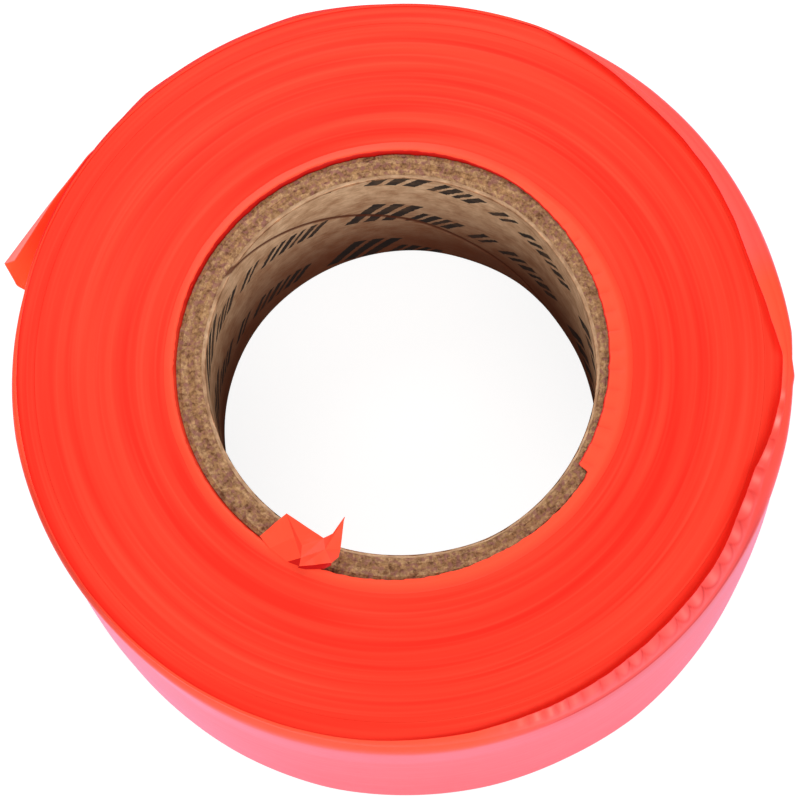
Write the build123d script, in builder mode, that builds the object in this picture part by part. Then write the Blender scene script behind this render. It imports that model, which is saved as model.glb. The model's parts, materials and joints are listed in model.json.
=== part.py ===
"""Roll of surveyor's flagging tape on a spiral-wound paperboard core, lying flat.

Millimetres, +Z up. The origin is the centre of the core's bore at the roll's bottom face.
Azimuths are in degrees, counter-clockwise from +X as seen from above.
The tape is one strip of thin film. It is divided where it behaves differently: the crumpled start
tab, the first turns on the core, the wound pack, the loose last turns and the free tail.
"""

import os
from math import cos, radians, sin

from build123d import *

os.makedirs("parts", exist_ok=True)

# Driving dimensions
tape_width = 30.16          # standard 1-3/16 in tape, and so the height of the roll
bore_radius = 25.4          # standard 2 in core
liner_thickness = 0.40
body_ply_thickness = 0.70
body_ply_count = 3
outer_ply_thickness = 0.45
roll_radius = 49.45         # outside of the last turns

# Film, as groups of turns that move or lie together
first_turns_thickness = 0.30
last_turns_thickness = 2.85  # about twenty-five outer turns
turn_clearance = 0.10       # between the pack and the loose last turns
last_turns_lift = 0.30      # the last turns have crept up, clear of the surface below

# Lip of the first turns, turned out over the pack and, on one side, over the core
lip_thickness = 0.30
lip_reach = 0.95            # outwards, past the first turns
core_lip_inner_radius = 26.7
core_lip_gap = 0.05
core_lip_start, core_lip_end = -38.0, 45.0

# Lip of the last turns, folded in over their shoulder
shoulder_lip_inner_radius = 46.75
shoulder_lip_thickness = 0.30
shoulder_lip_start, shoulder_lip_end = -100.0, 58.0

# Start tab, hinged on a line across the core's end face
tab_azimuth = -127.0
tab_hinge_radius = 29.3
tab_hinge_height = 0.75     # above the pack's face
tab_thickness = 0.70

# Tail, hinged where it leaves the roll
tail_azimuth = 136.8
tail_length = 17.35
tail_thickness = 0.30
tail_lip_width = 0.95       # at the end, from nothing at the lip's start
tail_lip_start = 5.0        # along the tail
tail_lip_cut = 1.0          # how far the lip's end slants back
tail_cut_start = 12.6       # along the bottom edge, where the slanted end cut begins
tail_cut_height = 22.0      # where the slant meets the square part of the end

# Derived sizes
core_radius = bore_radius + liner_thickness + body_ply_count * body_ply_thickness + outer_ply_thickness
first_turns_radius = core_radius + first_turns_thickness
last_turns_inner_radius = roll_radius - last_turns_thickness
pack_radius = last_turns_inner_radius - turn_clearance
tail_hinge_radius = roll_radius + turn_clearance + tail_thickness / 2


def radial(azimuth):
    """Unit vector pointing away from the roll's axis."""
    return Vector(cos(radians(azimuth)), sin(radians(azimuth)), 0)


def tangent(azimuth):
    """Unit vector along the turns, counter-clockwise."""
    return radial(azimuth + 90)


# Core: five plies of board, each glued round the one inside it
plies = [("core_liner", liner_thickness)]
plies += [(f"core_body_ply_{number}", body_ply_thickness) for number in range(1, body_ply_count + 1)]
plies += [("core_outer_ply", outer_ply_thickness)]
ply_inner_radius = bore_radius
for ply_name, ply_thickness in plies:
    with BuildPart() as ply:
        with BuildSketch():
            Circle(ply_inner_radius + ply_thickness)
            Circle(ply_inner_radius, mode=Mode.SUBTRACT)
        extrude(amount=tape_width)
    ply.part.label = ply_name
    export_step(ply.part, f"parts/{ply_name}.step")
    ply_inner_radius += ply_thickness

# First turns on the core, with the edge that turns out over the pack's face
with BuildPart() as tape_first_wrap:
    with BuildSketch():
        Circle(first_turns_radius)
        Circle(core_radius, mode=Mode.SUBTRACT)
    extrude(amount=tape_width)
    with BuildSketch(Plane.XY.offset(tape_width)):
        Circle(first_turns_radius + lip_reach)
        Circle(core_radius, mode=Mode.SUBTRACT)
    extrude(amount=lip_thickness)
    # On one side the same edge leans inwards, over the core's end face
    with BuildSketch(Plane.XY.offset(tape_width + core_lip_gap)):
        with BuildLine():
            lip_span = core_lip_end - core_lip_start
            lip_outer_arc = CenterArc((0, 0), first_turns_radius, core_lip_start, lip_span)
            lip_inner_arc = CenterArc((0, 0), core_lip_inner_radius, core_lip_start, lip_span)
            Line(lip_outer_arc @ 0, lip_inner_arc @ 0)
            Line(lip_outer_arc @ 1, lip_inner_arc @ 1)
        make_face()
    extrude(amount=lip_thickness - core_lip_gap)
tape_first_wrap.part.label = "tape_first_wrap"
export_step(tape_first_wrap.part, "parts/tape_first_wrap.step")

# Pack: the tightly wound turns, about a hundred and sixty of them
with BuildPart() as tape_pack:
    with BuildSketch():
        Circle(pack_radius)
        Circle(first_turns_radius, mode=Mode.SUBTRACT)
    extrude(amount=tape_width)
tape_pack.part.label = "tape_pack"
export_step(tape_pack.part, "parts/tape_pack.step")

# Last turns: a loose ring round the pack
with BuildPart() as tape_last_wrap:
    with BuildSketch(Plane.XY.offset(last_turns_lift)):
        Circle(roll_radius)
        Circle(last_turns_inner_radius, mode=Mode.SUBTRACT)
    extrude(amount=tape_width - last_turns_lift)
    # On one side the outermost turns' edge is folded in over the others
    shoulder_lip_span = shoulder_lip_end - shoulder_lip_start
    with BuildSketch(Plane.XY.offset(tape_width)):
        with BuildLine():
            fold_outer_arc = CenterArc((0, 0), roll_radius, shoulder_lip_start, shoulder_lip_span)
            fold_inner_arc = CenterArc(
                (0, 0), shoulder_lip_inner_radius, shoulder_lip_start, shoulder_lip_span
            )
            Line(fold_outer_arc @ 0, fold_inner_arc @ 0)
            Line(fold_outer_arc @ 1, fold_inner_arc @ 1)
        make_face()
    extrude(amount=shoulder_lip_thickness)
tape_last_wrap.part.label = "tape_last_wrap"
export_step(tape_last_wrap.part, "parts/tape_last_wrap.step")

# Start tab: the crumpled beginning of the tape, folded in over the core's end face.
# Sketch X runs along the hinge line and sketch Y towards the roll's axis.
tab_hinge = radial(tab_azimuth) * tab_hinge_radius + Vector(0, 0, tape_width + tab_hinge_height)
tab_plane = Plane(origin=tab_hinge, x_dir=tangent(tab_azimuth), z_dir=(0, 0, 1))
with BuildPart() as tape_start_tab:
    with BuildSketch(tab_plane.offset(-tab_thickness / 2)):
        with BuildLine():
            Polyline(
                (-0.4, 0.1), (-4.9, 1.4), (-2.9, 5.4), (2.7, 5.0), (3.7, 8.3), (5.2, 4.8),
                (5.7, 2.9), (1.8, 0.1),
                close=True,
            )
        make_face()
    extrude(amount=tab_thickness)
tape_start_tab.part.label = "tape_start_tab"
export_step(tape_start_tab.part, "parts/tape_start_tab.step")

# Tail: the free end of the tape, standing off the roll along its tangent.
# In plan, sketch X runs along the tail and sketch Y towards the roll.
tail_direction = tangent(tail_azimuth)
tail_root = radial(tail_azimuth) * tail_hinge_radius
tail_plan = Plane(origin=tail_root, x_dir=tail_direction, z_dir=(0, 0, 1))
tail_side = Plane(origin=tail_root, x_dir=tail_direction, z_dir=tail_direction.cross(Vector(0, 0, 1)))
with BuildPart() as tape_tail:
    with BuildSketch(tail_plan.offset(last_turns_lift)):
        Circle(tail_thickness / 2)
        Rectangle(tail_length, tail_thickness, align=(Align.MIN, Align.CENTER))
    extrude(amount=tape_width - last_turns_lift)
    # The top edge is folded in towards the roll, more and more towards the end
    with BuildSketch(tail_plan.offset(tape_width - tail_thickness)):
        with BuildLine():
            lip_corner = (tail_length - tail_lip_cut, tail_lip_width)
            Polyline((tail_lip_start, 0), (tail_length, 0), lip_corner, close=True)
        make_face()
    extrude(amount=tail_thickness)
    # The end is cut on a slant below the top corner
    with BuildSketch(tail_side):
        with BuildLine():
            Polyline((tail_cut_start, 0), (tail_length, tail_cut_height), (tail_length + 1, 0), close=True)
        make_face()
    extrude(amount=tail_lip_width, both=True, mode=Mode.SUBTRACT)
tape_tail.part.label = "tape_tail"
export_step(tape_tail.part, "parts/tape_tail.step")
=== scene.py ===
"""Looks of the roll of surveyor's flagging tape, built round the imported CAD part.

Shapes are worked out in millimetres and scaled once, when a mesh is made, because the frame is in metres.
Azimuths are in degrees, counter-clockwise from +X as seen from above.
"""

import json
from math import cos, pi, radians, sin

import bmesh
import bpy
import numpy as np
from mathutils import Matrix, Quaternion, Vector


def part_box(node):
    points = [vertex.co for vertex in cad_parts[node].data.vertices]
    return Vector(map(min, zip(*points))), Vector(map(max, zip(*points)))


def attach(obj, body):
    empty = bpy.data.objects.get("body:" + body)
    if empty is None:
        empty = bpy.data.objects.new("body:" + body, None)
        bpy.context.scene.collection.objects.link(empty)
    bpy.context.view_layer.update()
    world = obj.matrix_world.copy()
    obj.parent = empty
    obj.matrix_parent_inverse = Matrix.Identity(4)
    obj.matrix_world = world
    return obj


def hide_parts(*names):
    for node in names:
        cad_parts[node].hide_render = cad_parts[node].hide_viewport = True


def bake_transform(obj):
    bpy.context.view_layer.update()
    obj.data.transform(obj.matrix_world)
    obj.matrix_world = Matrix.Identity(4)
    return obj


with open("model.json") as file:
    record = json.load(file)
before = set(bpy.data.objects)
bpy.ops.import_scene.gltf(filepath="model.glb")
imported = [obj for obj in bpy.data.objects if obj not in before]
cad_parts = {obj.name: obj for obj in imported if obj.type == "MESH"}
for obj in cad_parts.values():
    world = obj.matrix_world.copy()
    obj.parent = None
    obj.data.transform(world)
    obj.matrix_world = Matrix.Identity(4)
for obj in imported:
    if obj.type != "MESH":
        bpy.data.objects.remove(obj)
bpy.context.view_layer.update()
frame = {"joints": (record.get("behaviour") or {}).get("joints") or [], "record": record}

MM = 0.001
FULL_TURN = 360.0
DEGREES_PER_RADIAN = 180 / pi


def outer_radius(node):
    """Largest radius of a round CAD node, in mm."""
    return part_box(node)[1].x / MM


# Sizes of the CAD part
mounts = {mount["name"]: mount for mount in frame["record"]["mounts"]}
joints = {joint["name"]: joint for joint in frame["joints"]}
bore_radius = mounts["core_bore"]["dims"]["r_mm"]
tape_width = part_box("tape_pack")[1].z / MM
core_radius = outer_radius("core_outer_ply")
pack_radius = outer_radius("tape_pack")
wall_radius = outer_radius("tape_last_wrap")
last_turns_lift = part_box("tape_last_wrap")[0].z / MM
tail_hinge = Vector(joints["tail_lift"]["pos_m"]) / MM
tab_hinge = Vector(joints["start_tab_fold"]["pos_m"]) / MM

# Film
film_thickness = 0.12            # drawn a little thicker than real film, which is 0.10 mm
first_turns_radius = core_radius + 0.30
last_turn_thickness = 0.35       # of the slack outer wall, drawn a few layers thick
wall_inner_radius = wall_radius - last_turn_thickness
foot_radius = 47.8               # of the outer turns at their lower edge, inside the slack last one
shoulder_radius = wall_inner_radius - 0.15

# Seam of the kraft liner, a helix that climbs anticlockwise
seam_foot_azimuth = 33.4
seam_pitch = 99.0                # rise in one full turn
seam_width = 0.7

# Inner edge of the lip that the last turns fold over the shoulder: (azimuth, radius)
SHOULDER_LIP_EDGE = [
    (60, 49.05), (56, 48.75), (48, 48.1), (39, 47.45), (20, 47.15), (9, 46.75), (4, 47.05), (-2, 47.7),
    (-7.5, 48.8), (-13, 48.7), (-20, 48.1), (-26.5, 47.15), (-32, 47.2), (-42, 47.8), (-57, 48.05),
    (-72, 48.45), (-88, 48.75), (-104, 48.9), (-150, 48.75), (165, 48.8), (150, 48.92), (66, 48.92),
]
# Outer corner of the last turns' shoulder, which stands out a little: (azimuth, radius, height, softness)
SHOULDER_CORNER = [
    (60, 49.3, 30.2, 0.9), (50, 49.15, 30.3, 0.9), (40, 49.4, 30.4, 0.8), (17, 49.6, 30.4, 0.6),
    (6, 49.9, 30.4, 0.6), (-4, 50.3, 30.3, 0.6), (-8.2, 50.05, 30.3, 0.6), (-10.8, 50.4, 30.3, 0.7),
    (-12.2, 50.2, 30.2, 0.7), (-20, 50.25, 29.8, 0.7), (-28, 50.1, 28.6, 0.6), (-38, 49.9, 27.1, 0.35),
    (-50, 49.85, 26.6, 0.2), (-75, 49.85, 26.5, 0.25), (-90, 49.9, 26.6, 0.6), (-120, 49.8, 27.4, 0.9),
    (-145, 49.6, 28.8, 0.9), (-165, 49.6, 29.7, 0.9), (-178, 49.65, 29.9, 0.9), (166, 49.35, 30.0, 0.9),
    (160, 49.2, 30.1, 0.9), (142, 49.5, 30.1, 0.9), (128, 49.55, 30.1, 0.9), (123, 49.95, 30.1, 0.9),
    (118, 49.7, 30.1, 0.9), (103, 49.7, 30.1, 0.9), (97, 49.9, 30.1, 0.9), (91, 49.6, 30.1, 0.9),
    (84, 49.3, 30.1, 0.9), (72, 49.35, 30.1, 0.9),
]
# Wall of the last turns above the foot: (azimuth, outer radius, height where it turns out to the shoulder)
WALL_RADIUS = [
    (-178, 49.35, 23), (-168, 48.9, 25), (-160, 48.75, 25), (-150, 48.8, 25), (-140, 49.1, 24),
    (-126, 49.45, 20), (-110, 49.45, 19), (-25, 49.45, 19), (0, 49.45, 23), (165, 49.45, 23),
]
# Outer radius of the last turns at their lower edge, where they are slack
FOOT_RADIUS = [
    (-178, 49.2), (-168, 48.6), (-157, 48.4), (-147, 48.35), (-136, 48.75), (-125, 49.25), (-110, 49.75),
    (-86, 49.75), (-73, 49.5), (-62, 49.5), (-50, 49.05), (-38, 48.7), (-29, 48.55), (-20, 49.1), (0, 49.4),
    (175, 49.4),
]
# Inner edge of the first turns' lip round the core: (azimuth, radius)
CORE_LIP_EDGE = [
    (-39.6, 27.9), (-39.2, 26.45), (-20, 26.6), (0, 26.9), (22, 27.3), (35, 27.7), (50, 28.3), (80, 28.68),
    (225, 28.68), (262, 28.3), (285, 28.0), (318, 28.1),
]


def smooth(share):
    """Smoothstep of a share, held between 0 and 1."""
    share = np.clip(share, 0, 1)
    return share * share * (3 - 2 * share)


def around(azimuth, keys, soften, column=1):
    """Values at the azimuths, through keys of (azimuth, value) that go round the circle, rounded over soften
    degrees. The column picks the value in longer keys."""
    step = 0.1
    circle = np.arange(0, FULL_TURN, step)
    angles, values = zip(*((key[0] % FULL_TURN, key[column]) for key in keys))
    line = np.interp(circle, angles, values, period=FULL_TURN)
    half = max(1, round(soften / step / 2))
    window = np.hanning(2 * half + 3)[1:-1]
    line = np.convolve(np.pad(line, half, mode="wrap"), window / window.sum(), "valid")
    return np.interp(azimuth, circle, line, period=FULL_TURN)


def noise(points, cell, seed):
    """Smooth noise from -1 to 1 at points [..., 3], with features about cell in size along each axis."""
    size = 32
    table = np.random.default_rng(seed).uniform(-1, 1, (size, size, size))
    place = points / np.array(cell)
    low = np.floor(place).astype(int)
    part = smooth(place - low)
    total = np.zeros(points.shape[:-1])
    for corner in np.ndindex(2, 2, 2):
        index = (low + corner) % size
        weight = np.prod(np.where(corner, part, 1 - part), axis=-1)
        total += weight * table[index[..., 0], index[..., 1], index[..., 2]]
    return total


def round_points(azimuth, radius, height=0.0):
    """Points [..., 3] in mm from azimuth, radius and height."""
    angle = np.radians(azimuth)
    return np.stack(np.broadcast_arrays(radius * np.cos(angle), radius * np.sin(angle), height), axis=-1)


def turns_noise(azimuth, radius, across, along, seed):
    """Noise on a wound face, with streaks across mm wide that run along degrees round the turns."""
    streak_radius = np.degrees(1) / along
    points = round_points(azimuth, streak_radius)
    points = np.stack(np.broadcast_arrays(radius / across, points[..., 0], points[..., 1]), axis=-1)
    return noise(points, (1, 1, 1), seed)


# Meshes

def grid_faces(rows, columns, close_rows):
    """Quads over a grid of points whose columns always close into a loop, and whose rows do if close_rows."""
    row, column = np.meshgrid(np.arange(rows if close_rows else rows - 1), np.arange(columns), indexing="ij")
    next_row, next_column = (row + 1) % rows, (column + 1) % columns
    corners = [row * columns + column, next_row * columns + column]
    corners += [next_row * columns + next_column, row * columns + next_column]
    return np.stack(corners, axis=-1).reshape(-1, 4)


def signed_volume(points, faces):
    """Volume inside closed quads, negative if they face inwards."""
    a, b, c, d = (points[faces[:, corner]] for corner in range(4))
    return float((np.cross(a, b) * c).sum() + (np.cross(a, c) * d).sum()) / 6


def add_values(mesh, **values):
    """Values for the material, one per vertex."""
    for name, array in values.items():
        layer = mesh.attributes.new(name, "FLOAT", "POINT")
        layer.data.foreach_set("value", np.clip(array, 0, 1).astype(np.float32).ravel())


def make_piece(name, points, faces, material, slot, node, **values):
    """A smooth-shaded mesh object from points in mm and closed quads, which stands for a CAD node."""
    points = points.reshape(-1, 3)
    if signed_volume(points, faces) < 0:
        faces = faces[:, ::-1]
    mesh = bpy.data.meshes.new(name)
    mesh.from_pydata((points * MM).tolist(), [], faces.tolist())
    mesh.materials.append(material)
    mesh.shade_smooth()
    mesh.set_sharp_from_angle(angle=radians(40))
    mesh.update()
    add_values(mesh, **values)
    piece = bpy.data.objects.new(name, mesh)
    bpy.context.scene.collection.objects.link(piece)
    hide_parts(node)
    return piece


def make_ring(name, azimuth, radius, height, material, slot, node, **values):
    """A closed ring from its section loop, as radius and height at [azimuth, step]."""
    points = round_points(azimuth[:, None], radius, height)
    faces = grid_faces(*radius.shape, close_rows=True)
    return make_piece(name, points, faces, material, slot, node, **values)


def make_sheet(name, middle, thickness, material, slot, node, **values):
    """A thin closed sheet round a grid of points [row, column, 3] through its middle."""
    normal = np.cross(np.gradient(middle, axis=0), np.gradient(middle, axis=1))
    normal *= thickness / 2 / np.linalg.norm(normal, axis=-1, keepdims=True)
    points = np.concatenate([middle + normal, (middle - normal)[:, ::-1]], axis=1)
    rows, columns = points.shape[:2]
    faces = [grid_faces(rows, columns, close_rows=False)]
    low = np.arange(columns // 2 - 1)
    cap = np.stack([low, low + 1, columns - 2 - low, columns - 1 - low], axis=-1)
    faces += [cap, (cap + (rows - 1) * columns)[:, ::-1]]
    return make_piece(name, points, np.concatenate(faces), material, slot, node, **values)


def section(azimuth, stations):
    """A closed loop of straight runs through stations. Each station is its radius, its height, any more
    values and the steps to the next station. A value is an array over the azimuths or one for all of them.
    Returns the values at [azimuth, step]."""
    steps = [station[-1] for station in stations]
    places = np.concatenate([index + np.arange(count) / count for index, count in enumerate(steps)])
    low = places.astype(int)
    high = (low + 1) % len(stations)
    part = (places - low)[:, None]
    columns = []
    for column in zip(*(station[:-1] for station in stations)):
        values = np.stack([np.broadcast_to(value, azimuth.shape) for value in column])
        columns.append((values[low] * (1 - part) + values[high] * part).T)
    return columns


# Materials

class Nodes:
    """A material and short ways to add nodes to it."""

    def __init__(self, name):
        self.material = bpy.data.materials.new(name)
        self.material.use_nodes = True
        self.tree = self.material.node_tree
        self.shader = self.tree.nodes["Principled BSDF"]

    def add(self, kind, inputs=(), **settings):
        """A new node with its settings, and its inputs set or linked in order or by name."""
        node = self.tree.nodes.new(kind)
        for name, value in settings.items():
            setattr(node, name, value)
        for key, value in dict(inputs if isinstance(inputs, dict) else enumerate(inputs)).items():
            self.set(node, key, value)
        return node

    def set(self, node, key, value):
        """Sets a node's input to a value or links it to an output."""
        if isinstance(value, bpy.types.NodeSocket):
            self.tree.links.new(value, node.inputs[key])
        else:
            node.inputs[key].default_value = value

    def finish(self, **inputs):
        """Sets the shader's inputs, named with _ for a space, and returns the material."""
        for name, value in inputs.items():
            self.set(self.shader, name.replace("_", " "), value)
        return self.material

    def math(self, operation, *values):
        return self.add("ShaderNodeMath", values, operation=operation).outputs[0]

    def vector(self, x, y, z):
        return self.add("ShaderNodeCombineXYZ", (x, y, z)).outputs[0]

    def place(self):
        """x, y and z of the surface point, in mm in the frame at rest."""
        coordinates = self.add("ShaderNodeTexCoord").outputs["Object"]
        scaled = self.add("ShaderNodeVectorMath", operation="SCALE")
        self.set(scaled, 0, coordinates)
        self.set(scaled, "Scale", 1 / MM)
        return self.add("ShaderNodeSeparateXYZ", (scaled.outputs[0],)).outputs

    def value(self, name):
        """A value that the mesh carries, 0 where it doesn't."""
        return self.add("ShaderNodeAttribute", attribute_name=name).outputs["Fac"]

    def radius(self, x, y):
        return self.math("SQRT", self.math("ADD", self.math("MULTIPLY", x, x), self.math("MULTIPLY", y, y)))

    def noise(self, vector, scale, detail=2.0, roughness=0.5):
        inputs = {"Vector": vector, "Scale": scale, "Detail": detail, "Roughness": roughness}
        return self.add("ShaderNodeTexNoise", inputs).outputs[0]

    def streaks(self, across, along, detail=2.0, lift=0.0):
        """Noise in streaks that run round the roll, across mm wide and along degrees long."""
        x, y, z = self.place()
        radius = self.radius(x, y)
        turn = DEGREES_PER_RADIAN / along
        circle = [self.math("MULTIPLY", self.math("DIVIDE", axis, radius), turn) for axis in (x, y)]
        depth = self.math("DIVIDE", self.math("ADD", radius, self.math("MULTIPLY", z, lift)), across)
        return self.noise(self.vector(depth, *circle), 1.0, detail)

    def ramp(self, factor, *stops, interpolation="LINEAR"):
        """Values or colours against a factor, from (place, value) stops."""
        node = self.add("ShaderNodeValToRGB", (factor,))
        node.color_ramp.interpolation = interpolation
        elements = node.color_ramp.elements
        while len(elements) < len(stops):
            elements.new(1.0)
        for element, (place, value) in zip(elements, sorted(stops, key=lambda stop: stop[0])):
            element.position = place
            element.color = (*value, 1) if isinstance(value, tuple) else (value, value, value, 1)
        return node.outputs[0]

    def mix(self, factor, first, second):
        """Colour mix of two colours or outputs."""
        node = self.add("ShaderNodeMix", {"Factor": factor}, data_type="RGBA")
        for index, value in ((6, first), (7, second)):
            self.set(node, index, (*value, 1) if isinstance(value, tuple) else value)
        return node.outputs[2]

    def bump(self, height, depth, strength=1.0):
        """Normal from a height of 0 to 1 that stands for depth mm."""
        inputs = {"Height": height, "Distance": depth * MM, "Strength": strength}
        return self.add("ShaderNodeBump", inputs).outputs[0]


def film_face_material():
    """Smooth face of the fluorescent film: satin, faintly streaked along the tape. The mesh carries painted
    light
    and shade: one value swaps the pink base that goes with the sheen for a painted red-orange of light coming
    through the film and takes the sheen away, one is a painted highlight that makes it paler, one is painted
    shade that deepens the red, and one is a painted emission for the light that comes through it."""
    nodes = Nodes("film_face")
    x, y, z = nodes.place()
    coral, shade, glow = nodes.value("coral"), nodes.value("shade"), nodes.value("glow")
    cloud = nodes.noise(nodes.vector(x, y, z), 0.18, 3.0)
    streak = nodes.streaks(0.9, 60, lift=1.0)
    pink = nodes.mix(cloud, (0.93, 0.066, 0.054), (0.96, 0.084, 0.070))
    # Painted light: the red-orange stands in for light coming through the film, in place of the pink that
    # goes with the sheen.
    colour = nodes.mix(coral, pink, (0.97, 0.086, 0.034))
    # Painted highlight: paler where the mesh marks one.
    colour = nodes.mix(nodes.value("gleam"), colour, (1.0, 0.32, 0.27))
    # Painted shade: deeper red where the mesh marks shade.
    colour = nodes.mix(shade, colour, (0.66, 0.003, 0.003))
    height = nodes.math("ADD", nodes.math("MULTIPLY", cloud, 0.8), nodes.math("MULTIPLY", streak, 0.2))
    # Gloss and sheen are cut where light or shade is painted.
    matt = nodes.math("MAXIMUM", coral, shade)
    # The emission is painted light of the film's own, standing in for its real fluorescence; painted shade
    # dims it, and the mesh's painted emission for light through the film raises it.
    light = nodes.math("MULTIPLY_ADD", shade, -0.22, 0.25)
    return nodes.finish(
        Base_Color=colour,
        Roughness=nodes.ramp(streak, (0.3, 0.40), (0.7, 0.48)),
        IOR=1.5,
        Specular_IOR_Level=nodes.math("MULTIPLY_ADD", matt, -0.3, 0.5),
        Sheen_Weight=nodes.math("MULTIPLY_ADD", matt, -0.70, 0.70),
        Sheen_Roughness=0.40,
        Sheen_Tint=(0.92, 0.62, 1.0, 1),
        Emission_Color=nodes.mix(glow, (1.0, 0.04, 0.02), (1.0, 0.09, 0.022)),
        Emission_Strength=nodes.math("MULTIPLY_ADD", glow, 0.6, light),
        Normal=nodes.bump(height, 0.08),
    )


def film_edges_material():
    """The wound face, made of film edges: soft bands round the roll, deeper colour, hardly any gloss."""
    nodes = Nodes("film_edges")
    bands = nodes.streaks(1.8, 75, 2.0)
    lines = nodes.streaks(0.55, 60, 1.0)
    banding = nodes.ramp(bands, (0.32, 0.0), (0.66, 1.0))
    colour = nodes.mix(banding, (0.92, 0.026, 0.012), (0.97, 0.054, 0.025))
    colour = nodes.mix(nodes.ramp(lines, (0.50, 0.0), (0.75, 0.5)), colour, (0.97, 0.080, 0.040))
    # Painted shade: deeper red where the mesh marks shade, beside the lip.
    colour = nodes.mix(nodes.value("shade"), colour, (0.80, 0.002, 0.004))
    return nodes.finish(
        Base_Color=colour,
        Roughness=0.6,
        IOR=1.5,
        Specular_IOR_Level=0.10,
        # A faint emission: painted light standing in for the film's real fluorescence.
        Emission_Color=(1.0, 0.03, 0.012, 1),
        Emission_Strength=0.12,
        Normal=nodes.bump(lines, 0.03),
    )


def board_material(name, dark, light):
    """Cut end of one board ply: short fibres, mottled brown, purplish and ochre."""
    nodes = Nodes(name)
    x, y, z = nodes.place()
    point = nodes.vector(x, y, z)
    blots = nodes.noise(point, 0.8, 2.0, 0.6)
    flecks = nodes.noise(point, 2.3, 2.0, 0.6)
    share = nodes.math("ADD", nodes.math("MULTIPLY", blots, 0.45), nodes.math("MULTIPLY", flecks, 0.55))
    colour = nodes.ramp(share, (0.37, dark), (0.63, light))
    purplish = nodes.ramp(nodes.noise(point, 1.5), (0.50, 0.0), (0.62, 0.7))
    colour = nodes.mix(purplish, colour, (0.30, 0.12, 0.10))
    ochre = nodes.ramp(nodes.noise(point, 1.9), (0.54, 0.0), (0.64, 0.4))
    colour = nodes.mix(ochre, colour, (0.42, 0.23, 0.085))
    return nodes.finish(
        Base_Color=colour,
        Roughness=0.9,
        IOR=1.4,
        Specular_IOR_Level=0.2,
        Normal=nodes.bump(flecks, 0.25),
    )


def kraft_material():
    """Kraft liner: paper with faint fibres, the dark helical seam and a plain row of slanted ink bars."""
    nodes = Nodes("kraft_liner")
    x, y, z = nodes.place()
    point = nodes.vector(x, y, z)
    # The azimuth runs from -90 to 270 degrees, so that its cut is away from the seam
    azimuth = nodes.math("ADD", nodes.math("ARCTAN2", nodes.math("MULTIPLY", x, -1.0), y), pi / 2)
    mottle = nodes.noise(point, 0.35, 4.0, 0.6)
    fibre = nodes.noise(nodes.vector(nodes.math("MULTIPLY", azimuth, 9.0), z, 0.0), 1.6, 4.0, 0.7)
    share = nodes.math("ADD", nodes.math("MULTIPLY", mottle, 0.6), nodes.math("MULTIPLY", fibre, 0.4))
    paper = nodes.ramp(share, (0.38, (0.52, 0.28, 0.145)), (0.62, (0.92, 0.62, 0.38)))
    # Painted shade: the paper is darkened towards the bottom of the bore, where less light reaches.
    depth = nodes.ramp(nodes.math("DIVIDE", z, tape_width), (0.15, 1.0), (0.88, 0.0))
    paper = nodes.mix(nodes.math("MULTIPLY", depth, 0.92), paper, (0.17, 0.034, 0.009))
    # It is worn to the colour of the board at its upper edge
    worn = nodes.math("MULTIPLY_ADD", z, 1.25, -1.25 * (tape_width - 1.0))
    worn = nodes.math("MULTIPLY", nodes.math("MINIMUM", nodes.math("MAXIMUM", worn, 0.0), 1.0), 0.8)
    paper = nodes.mix(worn, paper, nodes.ramp(fibre, (0.4, (0.24, 0.11, 0.055)), (0.6, (0.50, 0.28, 0.15))))

    slant_angle = radians(14.65)
    along = nodes.math("MULTIPLY", azimuth, bore_radius)
    wobble = nodes.math("MULTIPLY", nodes.math("SUBTRACT", nodes.noise(point, 2.0), 0.5), 0.35)
    climb = nodes.math("MULTIPLY", z, sin(slant_angle))
    run = nodes.math("MULTIPLY_ADD", along, cos(slant_angle), climb)
    drop = nodes.math("MULTIPLY", along, sin(slant_angle))
    rise = nodes.math("SUBTRACT", nodes.math("MULTIPLY", z, cos(slant_angle)), drop)
    # The rows repeat down the wall, and each row's units repeat along it
    rise = nodes.math("FLOORED_MODULO", nodes.math("SUBTRACT", rise, FIRST_ROW), ROW_PITCH)
    rise = nodes.math("ADD", rise, wobble)
    run = nodes.math("MULTIPLY_ADD", rise, BAR_SLANT, nodes.math("SUBTRACT", run, UNIT_START))
    run = nodes.math("FLOORED_MODULO", nodes.math("ADD", run, wobble), UNIT_LENGTH)
    run = nodes.math("DIVIDE", run, UNIT_LENGTH)
    short = ink_bars(nodes, run, rise, SHORT_BARS, SHORT_BAR_HEIGHT)
    ink = nodes.math("ADD", short, ink_bars(nodes, run, rise, TALL_BARS, TALL_BAR_HEIGHT))
    on_wall = nodes.math("LESS_THAN", z, tape_width - 1.0)
    patchy = nodes.ramp(mottle, (0.25, 0.75), (0.55, 0.97))
    ink = nodes.math("MULTIPLY", nodes.math("MULTIPLY", ink, on_wall), patchy)
    colour = nodes.mix(ink, paper, (0.022, 0.017, 0.016))

    past_foot = nodes.math("SUBTRACT", azimuth, radians(seam_foot_azimuth))
    seam_height = nodes.math("MULTIPLY", past_foot, seam_pitch / 2 / pi)
    off_seam = nodes.math("ABSOLUTE", nodes.math("SUBTRACT", z, seam_height))
    seam = nodes.ramp(nodes.math("DIVIDE", off_seam, seam_width), (0.40, 1.0), (0.85, 0.0))
    colour = nodes.mix(nodes.math("MULTIPLY", seam, 0.9), colour, (0.11, 0.022, 0.006))
    return nodes.finish(
        Base_Color=colour,
        Roughness=0.8,
        IOR=1.4,
        Normal=nodes.bump(fibre, 0.08),
    )


# Rows of ink bars: where the first row and its first unit start, and how far each row is above the last
FIRST_ROW = 3.0
UNIT_START = 15.5
ROW_PITCH = 13.5
BAR_SLANT = 0.45
SHORT_BAR_HEIGHT = 3.8
TALL_BAR_HEIGHT = 6.4
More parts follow.
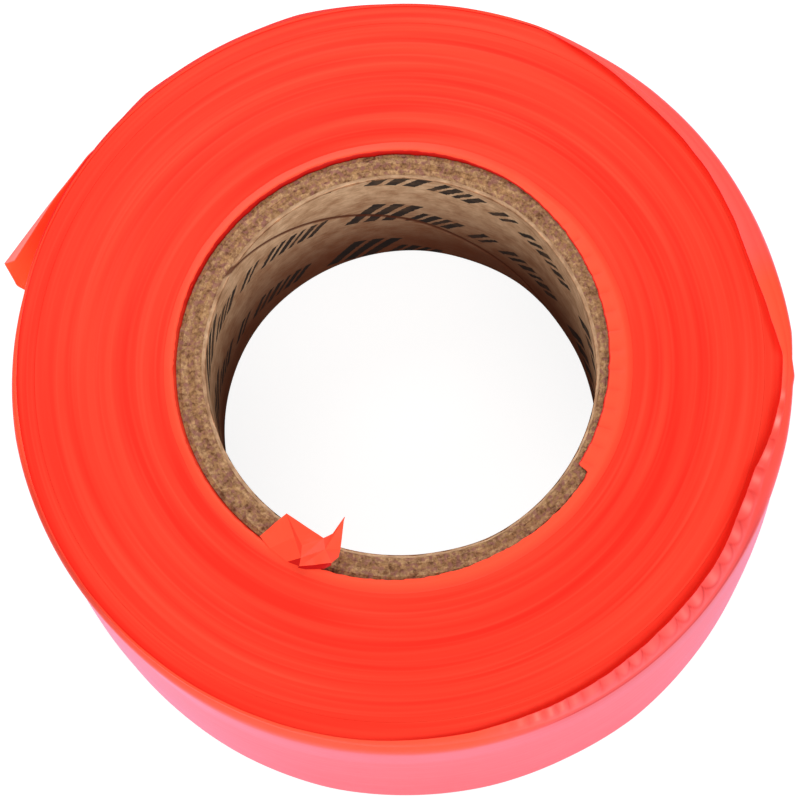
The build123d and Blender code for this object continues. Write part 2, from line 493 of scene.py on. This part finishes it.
# Ink bars of one printed unit, as (start, end) in mm along the print
UNIT_LENGTH = 35.3
SHORT_BARS = [
    (0.3, 1.3), (1.9, 3.0), (3.6, 4.4), (5.0, 6.2), (6.8, 7.6), (8.3, 9.3), (11.6, 12.4), (13.0, 14.0),
    (16.6, 17.8), (18.4, 19.2), (19.8, 21.0), (21.6, 22.6),
]
TALL_BARS = [(24.2, 25.9), (26.7, 28.3), (29.1, 30.9)]


def ink_bars(nodes, run, rise, bars, height):
    """1 on the bars and 0 off them. The run is a share of the unit, the rise is mm above the row's foot."""
    stops = [(0.0, 0.0)]
    for start, end in bars:
        stops += [(start / UNIT_LENGTH, 1.0), (end / UNIT_LENGTH, 0.0)]
    across = nodes.ramp(run, *stops, interpolation="CONSTANT")
    return nodes.math("MULTIPLY", across, nodes.math("LESS_THAN", rise, height))


# Pieces

def shoulder_fold(azimuth):
    """The last turns' lip: its inner edge, and how much of a fold there is, 0 where they just stand up."""
    edge = around(azimuth, SHOULDER_LIP_EDGE, 1.2)
    return edge, smooth((wall_inner_radius - 0.05 - edge) / 0.6)


def flush_back(azimuth):
    """1 at the back, where the last turns' edge lies flush with the pack."""
    return around(azimuth, [(62, 0), (72, 1), (150, 1), (166, 0)], 4)


def make_wound_turns(name, node, profile, material):
    """Tightly wound turns with the given profile. They stand a little proud or sunk, their shoulder is
    rounded, and the turns beside the shoulder lip are sunk."""
    azimuth = np.arange(540) * FULL_TURN / 540
    edge, fold = shoulder_fold(azimuth)
    radius, height = section(azimuth, profile)
    relief = 0.040 * turns_noise(azimuth[:, None], radius, 0.9, 70, seed=1)
    relief += 0.018 * turns_noise(azimuth[:, None], radius, 0.34, 45, seed=2)
    relief += 0.030 * turns_noise(azimuth[:, None], radius, 3.5, 120, seed=3)
    # Beside the lip the turns are sunk and carry painted shade, deepest on the side of the pleats
    deep = around(azimuth, [(-110, 0.35), (-80, 0.6), (-60, 1), (-12, 1), (0, 0.35), (62, 0.3), (75, 0)], 4)
    deep = deep[:, None]
    width = 0.7 + 0.9 * deep
    into_dip = smooth((radius - edge[:, None] + width) / width)
    dip = (0.25 + 0.60 * deep) * fold[:, None] * into_dip
    shade = (0.30 + 0.22 * deep) * into_dip * smooth(fold[:, None] * 2)
    is_top = height > tape_width - 0.05
    rounded = np.clip((radius - shoulder_radius + 0.8) / 0.8, 0, 1) * (1 - flush_back(azimuth))[:, None]
    dip = np.maximum(dip, 0.10 * rounded)
    corner_radius = around(azimuth, SHOULDER_CORNER, 1.0, 1)[:, None]
    corner_height = around(azimuth, SHOULDER_CORNER, 1.0, 2)[:, None]
    under_fold = (radius - edge[:, None]) / (corner_radius - edge[:, None])
    under_lip = tape_width - 0.25 - (tape_width + 0.3 - corner_height) * under_fold
    slope = np.where(under_fold > 0, under_lip, tape_width)
    top = np.minimum(height - 0.06 + relief - dip, slope)
    is_bottom = height < last_turns_lift + 0.1
    height = height + np.where(is_bottom, np.maximum(relief, -0.05), 0)
    height = np.where(is_top, top, np.minimum(height, slope))
    # Painted shade: turns that lie lower are darker, and the faces below the top carry a little painted
    # shade.
    shade = np.where(is_top, shade + 0.25 * np.maximum(-relief / 0.05, 0), 0.2)
    return make_ring(name, azimuth, radius, height, material, "flagging_film", node, shade=shade)


def make_pack(material):
    """The wound pack, up to the outer turns."""
    inner, outer = first_turns_radius + 0.02, pack_radius - 0.01
    return make_wound_turns("film_pack", "tape_pack", [
        (inner, 0.06, 24), (outer, 0.06, 20), (outer, tape_width - 0.03, 113),
        (inner, tape_width - 0.03, 1),
    ], material)


def make_outer_turns(material):
    """The outer turns, which go round with the last one."""
    inner, bottom = pack_radius + 0.03, last_turns_lift + 0.06
    return make_wound_turns("film_outer_turns", "tape_last_wrap", [
        (inner, bottom, 3), (foot_radius, bottom, 3), (foot_radius + 0.3, 17.0, 3),
        (foot_radius + 0.5, 25.0, 3),
        (shoulder_radius, tape_width - 1.2, 6), (shoulder_radius - 0.02, tape_width - 0.03, 18),
        (inner, tape_width - 0.03, 20),
    ], material)


def pleat_height(azimuth):
    """Puffs between the tucks that take up the fold's slack, from 0 in a tuck to 1 on a puff."""
    spacing = around(azimuth, [
        (-110, 2.0), (-78, 2.2), (-60, 3.0), (-40, 4.0), (-20, 4.9), (0, 4.9), (90, 3),
    ], 5)
    spacing = spacing * (1 + 0.22 * np.sin(0.53 * azimuth))
    turns = np.cumsum(np.gradient(azimuth) / spacing)
    return np.abs(np.sin(pi * turns)) ** 0.7


def make_last_turns(material):
    """The loose last turns: outer wall, crease, shoulder and the pleated lip over the turns inside, with
    painted shade, painted highlights and a painted lighter band.
    """
    azimuth = np.concatenate([np.arange(-108, 64, 0.25), np.arange(64, 252, 1.0)])
    circle = round_points(azimuth, 48.0)
    edge, fold = shoulder_fold(azimuth)
    edge = edge + 0.06 * noise(circle, (2.5, 2.5, 2.5), seed=6) * fold
    corner_radius, corner_height, softness = (
        around(azimuth, SHOULDER_CORNER, 1.0, column) for column in (1, 2, 3)
    )
    sag = 0.2 * noise(circle, (12, 12, 12), seed=8) * (1 - softness)
    corner_height = corner_height + sag
    foot = around(azimuth, FOOT_RADIUS, 6)
    pleated = around(azimuth, [
        (-13, 0), (-18, 1), (-28, 1), (-36, 0.55), (-54, 0.55), (-62, 1), (-76, 1), (-84, 0),
    ], 3)
    puff = pleat_height(azimuth)
    uneven = 0.5 + 0.5 * noise(circle, (4, 4, 4), seed=12)
    # Painted shade in arches round the puffs, and painted highlights on them, uneven from pleat to pleat
    arched = (0.4 + 0.6 * uneven) * around(azimuth, [(-72, 0), (-62, 0.5), (-38, 0.75), (-28, 0)], 4)
    gleaming = (0.3 + 0.7 * uneven) * around(azimuth, [
        (-84, 0), (-78, 0.5), (-60, 0.2), (-30, 0.9), (-17, 1.2), (-12, 0),
    ], 3)
    wall, wall_top = (around(azimuth, WALL_RADIUS, 6, column) for column in (1, 2))
    wall = wall + 0.04 * noise(circle, (9, 9, 9), seed=7)
    back = flush_back(azimuth)
    lip_height = tape_width + 0.02 + 0.26 * fold * (1 - back) - 0.11 * back
    # Only the front and the sides have the shoulder band painted a lighter red-orange, for light through the
    # film; at the back the edges lie flush and carry painted shade
    painted_light_band = around(azimuth, [
        (150, 1), (-178, 1), (-88, 1), (-70, 0.1), (-48, 0), (-28, 0.1), (-15, 0.5), (-8, 1), (4, 1),
        (10, 0.15), (56, 0.15), (66, 1),
    ], 3)
    # On the left the shoulder carries painted shade, to be as deep red as the pack
    left = around(azimuth, [(-178, 0), (-168, 1), (-152, 1), (-138, 0)], 4)
    creased = around(azimuth, [(-26, 0), (-36, 1), (-72, 1), (-84, 0)], 4)

    stations = []
    bottom = last_turns_lift + 0.05
    for share in np.linspace(0, 1, 5):
        radius = foot + (wall - foot) * sin(share * pi / 2)
        stations.append((radius, bottom + 16.0 * share, 0, 0, 0, 4))
    slope = np.hypot(edge - corner_radius, lip_height - corner_height)
    rise = np.hypot(corner_radius - wall, corner_height - wall_top)
    reach = softness * slope * 0.8
    below = np.minimum(reach / rise, 0.5)
    above = reach / slope
    start = (
        corner_radius + (wall - corner_radius) * below,
        corner_height + (wall_top - corner_height) * below,
    )
    end = (
        corner_radius + (edge - corner_radius) * above,
        corner_height + (lip_height - corner_height) * above,
    )
    # Painted shade: a dark line along the crease
    groove = 0.8 * creased
    stations += [(wall, wall_top, 0, 0, 0, 3), (*start, 0, groove * 0.5, 0, 1)]
    for share in np.linspace(0, 1, 13)[1:-1]:
        radius, height = (
            (1 - share) ** 2 * first + 2 * share * (1 - share) * middle + share ** 2 * last
            for first, middle, last in zip(start, (corner_radius, corner_height), end)
        )
        # Painted shade: the crease line, the dark back edge and the left shoulder
        shade = groove * (1 - abs(2 * share - 1)) + 0.9 * back * smooth(share * 3) + 0.45 * left * share
        stations.append((radius, height, painted_light_band * smooth(share * 1.6 - 0.1), shade, 0, 1))
    for share in np.linspace(0, 1, 17):
        radius = end[0] + (edge - end[0]) * share
        height = end[1] + (lip_height - end[1]) * share
        ruffle = pleated * smooth(share * 2.2) * (puff - 0.55)
        tuck = pleated * smooth(share * 2.0) * (1 - puff) ** 1.5
        arch = np.exp(-((share - 0.25 - 0.6 * (1 - puff)) / 0.13) ** 2)
        belly = 0.12 * sin(pi * share)
        # Painted shade in the tucks, in arches round the puffs, at the back and on the left; painted
        # highlights on the puffs
        shade = 0.5 * tuck + arched * arch + back * (0.38 + 0.6 * smooth(1.1 - share * 1.5)) + 0.45 * left
        gleam = gleaming * puff ** 9 * smooth(share * 3 - 0.6) * smooth(4 - share * 3.6)
        radius, height = radius + 0.16 * ruffle + belly, height + 0.30 * ruffle + belly
        stations.append((radius, height, painted_light_band, shade, gleam, 1))
    # The inner edge, the underside and the inside of the last turns carry painted shade
    stations += [
        (edge, height - film_thickness, back, 0.8 - 0.58 * back, 0, 8),
        (corner_radius - 0.42, corner_height - 0.42, 0, 0.8, 0, 8),
        (wall - last_turn_thickness, corner_height - 4.0, 0, 0.6, 0, 4),
        (foot - last_turn_thickness, bottom, 0, 0, 0, 2),
    ]
    radius, height, coral, shade, gleam = section(azimuth, stations)
    return make_ring(
        "film_last_turns", azimuth, radius, height, material, "flagging_film", "tape_last_wrap",
        coral=coral, shade=shade, gleam=gleam,
    )


def make_first_turns(material):
    """The first turns on the core, with their edge turned out as a lip over the pack and, on one side, the
    board."""
    azimuth = np.concatenate([np.arange(-42, 50, 0.25), np.arange(50, 318, 0.75)])
    rough = noise(round_points(azimuth, 28.0), (1.2, 1.2, 1.2), seed=9)
    edge = around(azimuth, CORE_LIP_EDGE, 0.3) + 0.05 * rough
    over_board = smooth((core_radius + 0.1 - edge) / 0.3)
    ticked = around(azimuth, [(-39, 1), (30, 1), (42, 0), (-42, 0)], 3)
    tick = 0.10 * ticked * (1 - np.abs(np.sin(np.radians(azimuth * 180 / 5.4))) ** 0.4)
    outer = around(azimuth, [(-100, 30.1), (-60, 29.9), (40, 29.8), (60, 30.0), (200, 29.9), (240, 30.0)], 10)
    outer = outer + 0.08 * noise(round_points(azimuth, 29.8), (4, 4, 4), seed=10)
    crest = tape_width + 0.22 + 0.03 * rough
    # Inside, painted shade makes the film's side a deep red line above the board
    inside = around(azimuth, [(-45, 0.1), (-38, 1), (135, 1), (165, 0.35), (225, 0.15)], 5)
    fuzz = 0.13 * noise(round_points(azimuth, 28.4), (0.5, 0.5, 0.5), seed=11)
    deep = 0.95 * np.minimum(inside * 1.5, 1)
    radius, height, shade = section(azimuth, [
        (core_radius + 0.02, 0.06, 0, 6),
        (core_radius + 0.02, tape_width - 0.75, deep, 3),
        (core_radius + 0.04, tape_width - 0.70 + 0.80 * over_board, deep, 5),
        (edge + fuzz * 0.4, tape_width + 0.05 + 0.07 * over_board, deep, 2),
        (edge + 0.10 * inside + fuzz * 0.6, tape_width + 0.17 + 0.03 * over_board - tick, deep, 2),
        # Painted shade in the ticks of the lip
        (edge + 0.22, tape_width + 0.19 + 0.03 * over_board - tick, 2.5 * tick, 8),
        (edge * 0.4 + 29.0 * 0.6, crest - 0.02 - tick * 0.7, 2.5 * tick, 5),
        (29.0, crest, 0, 4),
        (29.15, crest - 0.02, 0, 4),
        (outer - 0.1, tape_width - 0.01, 0, 3),
        (outer, tape_width - 0.05, 0, 2),
        (outer - 0.1, tape_width - 0.10, 0, 4),
        (first_turns_radius, tape_width - 0.12, 0, 6),
        (first_turns_radius, 0.06, 0, 2),
    ])
    # Painted shade deepens the lip towards its outer edge, where it meets the pack
    soft = around(azimuth, [(40, 0.05), (60, 0.1), (200, 0.1), (225, 0.02), (300, 0.02)], 8)[:, None]
    fade = smooth((radius - 28.9) / (outer[:, None] - 28.9))
    shade = np.maximum(shade, np.where(radius > 28.6, soft + (0.32 - soft) * fade, 0))
    # All of the first turns take the painted red-orange of light through the film
    return make_ring(
        "film_first_turns", azimuth, radius, height, material, "flagging_film", "tape_first_wrap",
        coral=np.ones_like(radius), shade=shade,
    )


# How far the core's bore stands inwards where the tube is out of round: (azimuth, mm)
BORE_INSET = [
    (-70, 0), (-20, 0.1), (5, 0.45), (25, 0.5), (45, 0.1), (63, 0.2), (78, 0.05), (110, 0.2), (135, 0.3),
    (155, 0.6), (190, 0.9), (215, 0.75), (240, 0.55), (262, 0.55), (275, 0.4), (285, 0.1),
]


def out_of_round(azimuth, radius):
    """Radius in the core's wall, moved inwards where the tube is out of round, most at the bore."""
    return radius - around(azimuth, BORE_INSET, 14) * (core_radius - radius) / (core_radius - bore_radius)


def make_ply(name, node, inner, outer, material, slot, seed, with_seam=False):
    """One board ply: plain walls and rough cut ends, worn down towards the bore. The liner's inner face
    carries the seam's groove."""
    azimuth = np.arange(720) * FULL_TURN / 720
    wall_steps = 90 if with_seam else 6
    bore = out_of_round(azimuth, bore_radius)
    inner, outer = (out_of_round(azimuth, radius) for radius in (inner, outer))
    radius, height = section(azimuth, [
        (inner, 0.12, wall_steps), (inner, tape_width - 0.9, 5), (inner, tape_width - 0.02, 8),
        (outer, tape_width - 0.02, 2), (outer, 0.12, 2), (outer - 0.05, 0.02, 4), (inner + 0.05, 0.02, 2),
    ])
    points = round_points(azimuth[:, None], radius, height)
    rough = 0.16 * noise(points * (1, 1, 0), (0.9, 0.9, 1), seed=40)
    rough += 0.10 * noise(points * (1, 1, 0), (0.35, 0.35, 1), seed)
    worn = 0.75 * np.clip((bore[:, None] + 0.75 - radius) / 0.75, 0, 1) ** 1.6
    near_end = smooth((height - tape_width + 0.92) / 0.9)
    lower_end = np.where(height < 0.05, np.maximum(0.16 + rough, 0), 0)
    height = height + near_end * (rough - 0.27 - worn) + lower_end
    if with_seam:
        seam_height = (azimuth[:, None] - seam_foot_azimuth) / FULL_TURN * seam_pitch
        groove = 1 - smooth(np.abs(height - seam_height) / seam_width)
        radius = radius + np.where(radius < inner[:, None] + 0.02, 0.20 * groove, 0)
    return make_ring(name, azimuth, radius, height, material, slot, node)


def make_core(kraft, boards):
    """The five plies of the core."""
    nodes = ["core_liner", "core_body_ply_1", "core_body_ply_2", "core_body_ply_3", "core_outer_ply"]
    names = ["kraft_liner", "board_ply_1", "board_ply_2", "board_ply_3", "board_outer_ply"]
    inner = bore_radius
    plies = []
    for index, (name, node) in enumerate(zip(names, nodes)):
        material = boards[index - 1] if index else kraft
        slot = "chipboard" if index else "kraft_liner"
        outer = outer_radius(node)
        seed = 20 + 2 * index
        plies.append(make_ply(name, node, inner, outer, material, slot, seed, with_seam=not index))
        inner = outer
    return plies


def make_tail(material):
    """The free end: it hugs the roll, leaves it along the tangent, and its top edge is folded in towards the
    roll, more and more towards the end. The end is cut on a slant below its top corner."""
    hinge_azimuth = np.degrees(np.arctan2(tail_hinge.y, tail_hinge.x))
    root_length, free_length, cut_start, cut_height = 8.0, 17.35, 12.6, 22.0
    lip_start, lip_width, lip_cut = 5.0, 0.95, 1.0
    top = tape_width + 0.05
    # Steps up the width, and then over the folded edge
    across = np.concatenate([np.linspace(last_turns_lift, top, 30), np.full(8, top)])
    inwards = np.concatenate([np.zeros(30), np.linspace(0.08, 1, 8)])
    rise = np.concatenate([np.zeros(30), 0.20 * np.sin(np.linspace(0.1, 1, 8) * pi / 2)])
    slant = cut_start + (free_length - cut_start) * across / cut_height
    reach = np.where(across < cut_height, slant, free_length)
    reach = reach - 0.35 * np.clip((top - across) / (top - cut_height), 0, 1) * (across >= cut_height)
    reach = np.minimum(reach, free_length - 0.35 + 0.35 * (across >= cut_height)) - lip_cut * inwards
    along = np.linspace(-1, 1, 80)[:, None]
    along = np.where(along < 0, along * root_length, along * reach[None, :])

    outward = Vector((cos(radians(hinge_azimuth)), sin(radians(hinge_azimuth)), 0))
    forward = Vector((-outward.y, outward.x, 0))
    away = np.maximum(along, 0)
    # Its foot is twisted a little towards the roll
    offset = -0.25 * (1 - across / top) * (away / free_length) ** 2 - 0.2 * (1 - smooth(away / 9))
    # The root follows the roll and sinks into its last turn
    hug_radius = tail_hinge.to_2d().length
    hug_angle = np.minimum(along, 0) / hug_radius
    sink = 0.45 * smooth(-along / 5)
    plan_forward = away + np.sin(hug_angle) * hug_radius
    lip = lip_width * np.clip((along - lip_start) / (free_length - lip_start), 0.06, 1) * inwards
    plan_outward = offset - (1 - np.cos(hug_angle)) * hug_radius - sink - lip
    lifted = rise[None, :] * smooth((along - lip_start + 1) / 3)
    middle = np.stack([
        tail_hinge.x + forward.x * plan_forward + outward.x * plan_outward,
        tail_hinge.y + forward.y * plan_forward + outward.y * plan_outward,
        across + lifted - 0.3 * smooth(-along / 3) * (across / top) ** 4,
    ], axis=-1)
    # Painted shade on the face towards the roll and a painted highlight on the folded edge; the face towards
    # the roll also takes the painted red-orange and emission of light through the film
    steps = len(across)
    facing_roll = 0.06 - 0.06 * smooth((along - 9) / 6)
    shade = np.concatenate([np.zeros_like(along), facing_roll[:, ::-1]], axis=1)
    coral = np.repeat([0.0, 1.0], steps)
    # Painted highlight along the folded edge
    pale = 0.35 * smooth((along - 2) / 5) * smooth((across + inwards - top + 1) / 1)
    coral = np.broadcast_to(coral, shade.shape)
    piece = make_sheet(
        "film_tail", middle, film_thickness, material, "flagging_film", "tape_tail",
        coral=coral, shade=shade, gleam=np.concatenate([pale, 0 * pale], axis=1),
        glow=coral * (0.45 + 0.45 * smooth((np.hstack([along, along]) - 8) / 8)),
    )
    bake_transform(piece)
    return piece


# Start tab's corners: along the hinge line, towards the roll's axis, and up from the pack's face
TAB_POINTS = {
    "left": (-4.5, 1.2, 0.35), "peak": (-2.7, 5.1, 1.7), "notch": (2.85, 4.6, 1.1), "tip": (4.15, 7.9, 2.8),
    "flank": (3.67, 5.58, 1.6), "right": (5.5, 4.3, 1.5), "side": (5.75, 3.3, 1.2), "corner": (5.3, 2.3, 0.9),
    "fold": (1.9, 0.0, 0.9), "foot": (0.2, -0.1, 0.45), "ridge": (1.7, 0.9, 1.8), "base": (-2.6, 0.4, 0.4),
    "mid": (3.9, 3.3, 1.7), "crest": (-0.3, 2.85, 1.9), "hollow": (1.0, 2.4, 1.5),
    "under_left": (1.75, -0.15, 0.42), "under_low": (2.7, 0.12, 0.40), "under_foot": (4.75, 1.35, 0.30),
    "under_right": (5.3, 2.1, 0.30), "under_in": (4.9, 3.1, 0.6), "under_mid": (2.2, 1.6, 0.6),
}
# Facets between the corners, each with how much painted shade it carries
TAB_FACETS = [
    ("left", "peak", "base", 0.0), ("base", "peak", "crest", 0.0), ("base", "crest", "foot", 0.10),
    ("crest", "ridge", "foot", 0.02), ("peak", "hollow", "crest", 0.42), ("crest", "hollow", "ridge", 0.42),
    ("peak", "notch", "hollow", 0.12), ("hollow", "notch", "ridge", 0.10), ("foot", "ridge", "fold", 0.95),
    ("notch", "mid", "ridge", 0.18), ("ridge", "mid", "fold", 0.14), ("mid", "corner", "fold", 0.02),
    ("notch", "flank", "mid", 0.30), ("flank", "tip", "mid", 0.10), ("tip", "right", "mid", 0.0),
    ("right", "side", "mid", 0.15), ("side", "corner", "mid", 0.25),
    ("under_left", "under_low", "under_mid", 1.0), ("under_low", "under_foot", "under_mid", 1.0),
    ("under_foot", "under_in", "under_mid", 1.0), ("under_foot", "under_right", "under_in", 1.0),
]


def make_start_tab(material):
    """The crumpled start of the tape: flat facets between sharp folds, each with painted shade, over a tucked
    layer painted in shade.
    """
    along = Vector(joints["start_tab_fold"]["axis"])
    inwards = Vector((-along.y, along.x, 0))
    base = Vector((tab_hinge.x, tab_hinge.y, tape_width))
    sheet = bmesh.new()
    shade = sheet.faces.layers.float.new("shade")
    corners = {}
    for name, (run, reach, rise) in TAB_POINTS.items():
        corners[name] = sheet.verts.new(base + along * run + inwards * reach + Vector((0, 0, rise)))
    for *names, depth in TAB_FACETS:
        facet = sheet.faces.new([corners[name] for name in names])
        facet[shade] = depth
    bmesh.ops.recalc_face_normals(sheet, faces=sheet.faces[:])
    for edge in sheet.edges:
        edge.smooth = edge.calc_face_angle(0) <= radians(8)
    bmesh.ops.subdivide_edges(sheet, edges=sheet.edges[:], cuts=7, use_grid_fill=True)
    places = np.array([vertex.co for vertex in sheet.verts])
    for vertex, crumple in zip(sheet.verts, noise(places, (1.3, 1.3, 1.3), seed=30)):
        vertex.co.z += 0.12 * crumple
    bmesh.ops.solidify(sheet, geom=sheet.faces[:], thickness=film_thickness)
    bmesh.ops.scale(sheet, vec=(MM, MM, MM), verts=sheet.verts[:])
    mesh = bpy.data.meshes.new("film_start_tab")
    sheet.to_mesh(mesh)
    mesh.materials.append(material)
    # The whole tab takes the painted red-orange of light through the film
    add_values(mesh, coral=np.ones(len(mesh.vertices)))
    piece = bpy.data.objects.new("film_start_tab", mesh)
    bpy.context.scene.collection.objects.link(piece)
    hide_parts("tape_start_tab")
    return piece


def make_camera():
    """Camera where the roll is seen from high above, turned a little about its line of sight."""
    distance, elevation, roll = 542.05, radians(72.76), radians(-8.88)
    position = Vector((0, -distance * cos(elevation), tape_width + distance * sin(elevation)))
    aim = Vector((-0.47, -4.75, tape_width))
    data = bpy.data.cameras.new("camera")
    data.sensor_width, data.lens = 36.0, 191.74
    camera = bpy.data.objects.new("camera", data)
    camera.location = position * MM
    camera.rotation_mode = "QUATERNION"
    camera.rotation_quaternion = (aim - position).to_track_quat("-Z", "Y") @ Quaternion((0, 0, 1), roll)
    bpy.context.scene.collection.objects.link(camera)
    bpy.context.scene.camera = camera


def plain_material(name, colour, emission=0.0):
    """A matt colour for the stage, with some white light of its own if asked for."""
    return Nodes(name).finish(
        Base_Color=(*colour, 1),
        Roughness=0.9,
        Emission_Color=(1, 1, 1, 1),
        Emission_Strength=emission,
    )


def make_floor(name, half_size, height, material):
    """A square of floor at a height in mm."""
    mesh = bpy.data.meshes.new(name)
    corners = [(-1, -1), (1, -1), (1, 1), (-1, 1)]
    points = [(x * half_size * MM, y * half_size * MM, height * MM) for x, y in corners]
    mesh.from_pydata(points, [], [(0, 1, 2, 3)])
    mesh.materials.append(material)
    floor = bpy.data.objects.new(name, mesh)
    bpy.context.scene.collection.objects.link(floor)
    return floor


def make_stage():
    """A pale floor that only the camera sees, and below it a pale sheet that lights the roll from underneath
    and a dark disc that keeps the light low inside the bore."""
    seen = make_floor("floor", 4000, -0.05, plain_material("floor", (0.35, 0.35, 0.35), emission=0.85))
    for ray in ("diffuse", "glossy", "transmission", "shadow", "volume_scatter"):
        setattr(seen, f"visible_{ray}", False)
    bounce = make_floor("bounce", 600, -0.10, plain_material("bounce", (0.9, 0.9, 0.9)))
    bounce.visible_camera = False
    flag = make_floor("bore_flag", 34, -0.08, plain_material("bore_flag", (0.05, 0.04, 0.03)))
    flag.visible_camera = False


def make_light(name, place, size, level):
    """A soft square light at a place in mm, aimed at the roll. It adds level to a white surface that faces
    it."""
    data = bpy.data.lights.new(name, "AREA")
    data.size = size * MM
    data.energy = level * (pi * Vector(place).length * MM) ** 2
    light = bpy.data.objects.new(name, data)
    light.location = Vector(place) * MM
    light.rotation_mode = "QUATERNION"
    light.rotation_quaternion = (-Vector(place)).to_track_quat("-Z", "Y")
    bpy.context.scene.collection.objects.link(light)


def make_lights():
    """An even white surround, a soft key light close behind the roll, and a fill from the front."""
    world = bpy.data.worlds.new("surround")
    world.use_nodes = True
    world.node_tree.nodes["Background"].inputs[0].default_value = (1, 1, 1, 1)
    world.node_tree.nodes["Background"].inputs[1].default_value = 0.45
    bpy.context.scene.world = world
    make_light("key", (-30, 160, 150), 160, 0.62)
    make_light("fill", (60, -430, 330), 400, 0.50)


make_camera()
make_stage()
make_lights()

film_face = film_face_material()
film_edges = film_edges_material()
kraft = kraft_material()
board_brown = board_material("board_brown", (0.14, 0.055, 0.026), (0.49, 0.26, 0.12))
board_pale = board_material("board_pale", (0.19, 0.082, 0.040), (0.59, 0.34, 0.17))
board_outer = board_material("board_outer", (0.12, 0.042, 0.020), (0.41, 0.20, 0.09))

for piece in [
    make_pack(film_edges),
    make_first_turns(film_face),
    *make_core(kraft, [board_pale, board_brown, board_pale, board_outer]),
]:
    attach(piece, "roll")
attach(make_outer_turns(film_edges), "last_wrap")
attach(make_last_turns(film_face), "last_wrap")
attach(make_start_tab(film_face), "start_tab")
make_tail(film_face)

bpy.context.scene.view_settings.view_transform = "Standard"
